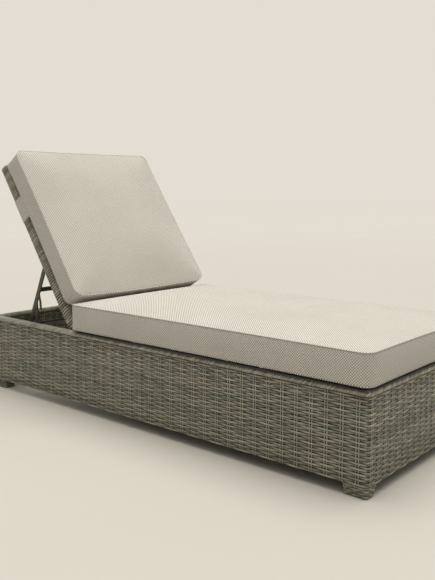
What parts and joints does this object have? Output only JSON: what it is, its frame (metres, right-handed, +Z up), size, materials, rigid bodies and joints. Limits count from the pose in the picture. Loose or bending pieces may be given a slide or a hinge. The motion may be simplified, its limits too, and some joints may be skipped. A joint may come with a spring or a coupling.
{
  "type": "reclining sun lounger",
  "caption": "Low woven box-base sun lounger with a slatted deck, thick boxed cushions and a backrest that reclines flat on two hinge pins, held by a folding prop frame.",
  "frame": {"origin": "on the floor under the middle of the base", "axes": "+X along the length towards the foot end, +Y towards the far long side, +Z up"},
  "size_m": [2.024, 0.86, 1.1164],
  "materials": {
    "wicker": "weathered grey-brown woven resin strand",
    "glide_plastic": "moulded black plastic",
    "frame_aluminium": "powder coated aluminium tube",
    "deck_aluminium": "powder coated aluminium",
    "bronze_steel": "dark bronze powder coat",
    "fastener_steel": "stainless steel",
    "cushion_fabric": "oatmeal woven outdoor fabric"
  },
  "bodies": {
    "base": {"bottom_rail_far": "frame_aluminium", "bottom_rail_foot": "frame_aluminium", "bottom_rail_head": "frame_aluminium", "bottom_rail_near": "frame_aluminium", "corner_post_foot_far": "frame_aluminium", "corner_post_foot_near": "frame_aluminium", "corner_post_head_far": "frame_aluminium", "corner_post_head_near": "frame_aluminium", "deck_ledge_far": "deck_aluminium", "deck_ledge_near": "deck_aluminium", "deck_slat_1": "deck_aluminium", "deck_slat_2": "deck_aluminium", "deck_slat_3": "deck_aluminium", "deck_slat_4": "deck_aluminium", "deck_slat_5": "deck_aluminium", "deck_slat_6": "deck_aluminium", "deck_slat_7": "deck_aluminium", "deck_tube_middle": "deck_aluminium", "deck_tube_rear": "deck_aluminium", "foot_foot_far": "wicker", "foot_foot_near": "wicker", "foot_glides": "glide_plastic", "foot_head_far": "wicker", "foot_head_near": "wicker", "guide_bolts": "fastener_steel", "guide_plate_far": "bronze_steel", "guide_plate_near": "bronze_steel", "hinge_bracket_far": "bronze_steel", "hinge_bracket_near": "bronze_steel", "hinge_pin_far": "bronze_steel", "hinge_pin_near": "bronze_steel", "middle_post_far": "frame_aluminium", "middle_post_near": "frame_aluminium", "seat_cushion": "cushion_fabric", "slat_screws": "fastener_steel", "top_rail_far": "frame_aluminium", "top_rail_foot": "frame_aluminium", "top_rail_head": "frame_aluminium", "top_rail_near": "frame_aluminium", "woven_wall_far": "wicker", "woven_wall_foot": "wicker", "woven_wall_head": "wicker", "woven_wall_near": "wicker"},
    "backrest": {"back_cushion": "cushion_fabric", "back_panel": "wicker", "back_rail_core": "frame_aluminium", "back_rail_lower": "frame_aluminium", "back_rail_wrap": "wicker", "back_strap": "cushion_fabric", "prop_pin_far": "bronze_steel", "prop_pin_near": "bronze_steel", "stile_core_far": "frame_aluminium", "stile_core_near": "frame_aluminium", "stile_wrap_far": "wicker", "stile_wrap_near": "wicker"},
    "prop": {"prop_cross_bar": "bronze_steel", "prop_foot_rod": "bronze_steel", "prop_leg_far": "bronze_steel", "prop_leg_near": "bronze_steel"}
  },
  "joints": [
    {"name": "backrest_recline", "type": "hinge", "parent": "base", "child": "backrest", "pos_m": [-0.472, 0, 0.37], "axis": [0, -1, 0], "range_deg": [0, 55.5]},
    {"name": "prop_fold", "type": "hinge", "parent": "backrest", "child": "prop", "pos_m": [-0.67024, 0, 0.65844], "axis": [0, -1, 0], "range_deg": [0, 27.75]}
  ],
  "couplings": [
    {"joint": "prop_fold", "follows": "backrest_recline", "ratio": 0.5}
  ]
}
